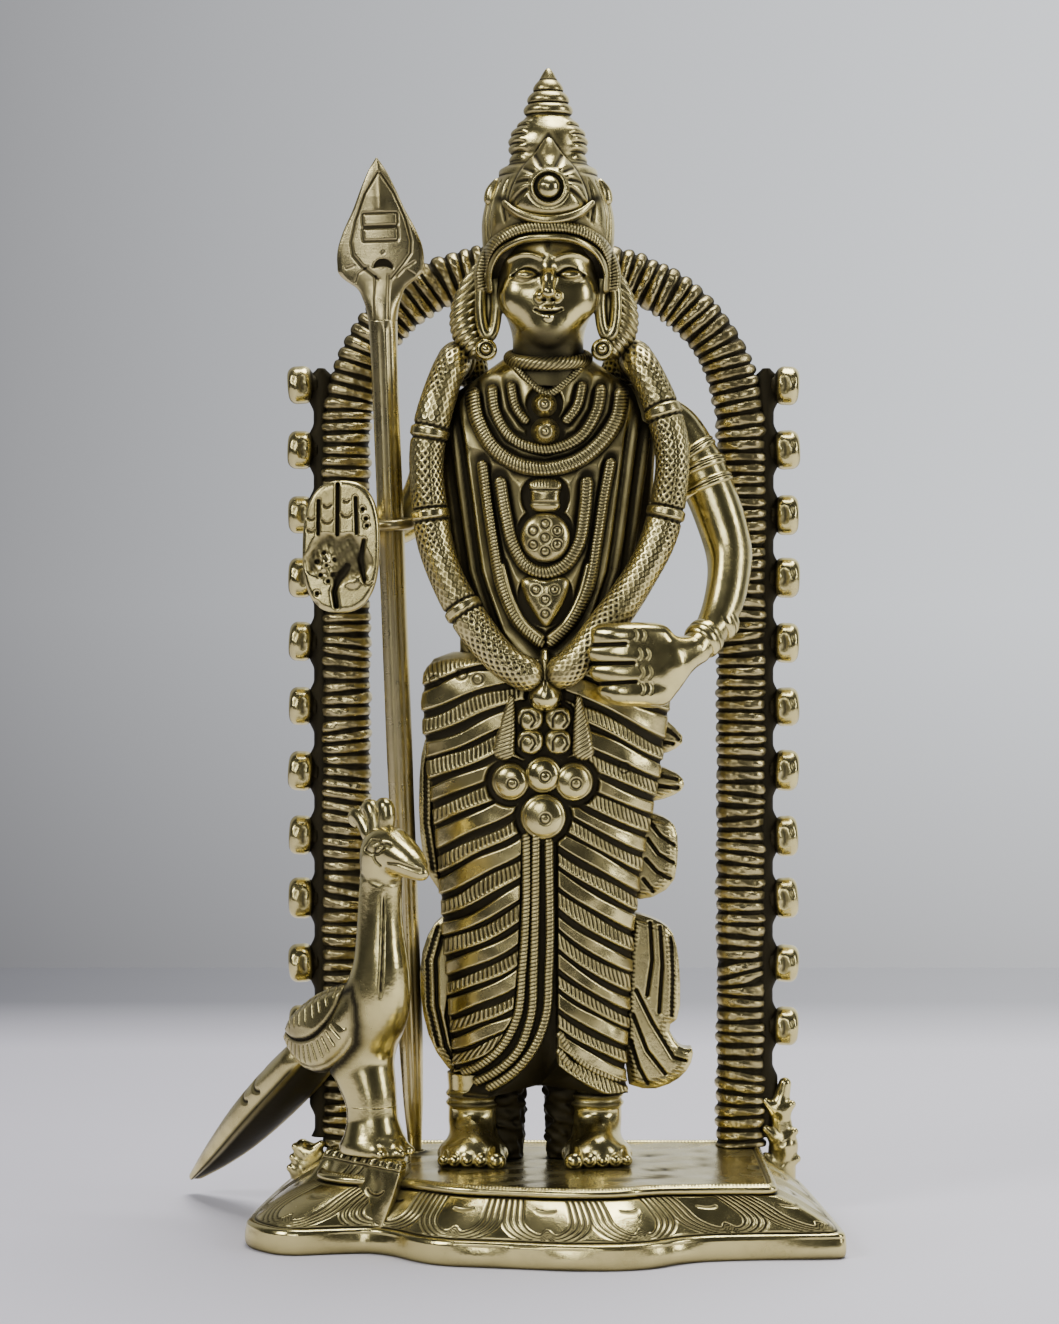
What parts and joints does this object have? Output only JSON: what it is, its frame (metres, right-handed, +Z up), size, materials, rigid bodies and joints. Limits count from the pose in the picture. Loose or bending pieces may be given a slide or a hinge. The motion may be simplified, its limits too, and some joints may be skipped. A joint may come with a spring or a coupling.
{
  "type": "brass temple statue",
  "caption": "Cast brass standing deity with a lift-out leaf-bladed spear, a peacock, a ribbed and knobbed arch, and a hollow lotus base.",
  "frame": {"origin": "on the table plane, under the middle of the deck", "axes": "+Z up, +X towards the statue's own left hand (right of the front view), -Y towards the viewer"},
  "size_m": [0.1308, 0.078, 0.2288],
  "materials": {
    "cast_brass": "cast and buffed on the high places, brown-black patina in the recesses",
    "engraved_brass": "chased with cords, hatching and ring punches, dark in the cuts",
    "ribbed_brass": "ribbed casting, buffed ridges and dark grooves",
    "polished_brass": "filed flat and polished",
    "screw_steel": "zinc plated"
  },
  "bodies": {
    "statue": {"base_shell": "cast_brass", "peacock_stand": "cast_brass", "arch": "ribbed_brass", "arch_knobs_left": "cast_brass", "arch_knobs_right": "cast_brass", "arch_leaf_left": "cast_brass", "arch_leaf_right": "cast_brass", "feet": "cast_brass", "robe": "engraved_brass", "torso": "engraved_brass", "head": "cast_brass", "hair_locks": "engraved_brass", "ear_rings": "cast_brass", "crown": "engraved_brass", "necklaces": "engraved_brass", "chest_pendant": "engraved_brass", "garland": "engraved_brass", "waist_pendant": "cast_brass", "sash_ends": "engraved_brass", "side_drape_left": "engraved_brass", "side_drape_right": "engraved_brass", "left_arm": "cast_brass", "left_hand": "cast_brass", "arm_bands": "cast_brass", "right_arm": "cast_brass", "right_hand": "polished_brass", "spear_ring": "cast_brass", "peacock_feet": "cast_brass", "peacock_body": "cast_brass", "peacock_wings": "engraved_brass", "peacock_tail": "engraved_brass", "peacock_crest": "cast_brass", "mounting_screws": "screw_steel", "screw_washers": "screw_steel"},
    "spear": {"spear_shaft": "polished_brass", "spear_blade": "polished_brass"}
  },
  "joints": [
    {"name": "spear_lift", "type": "slide", "parent": "statue", "child": "spear", "axis": [-0.0348, -0.0663, 0.9972], "range_m": [0, 0.13]}
  ]
}
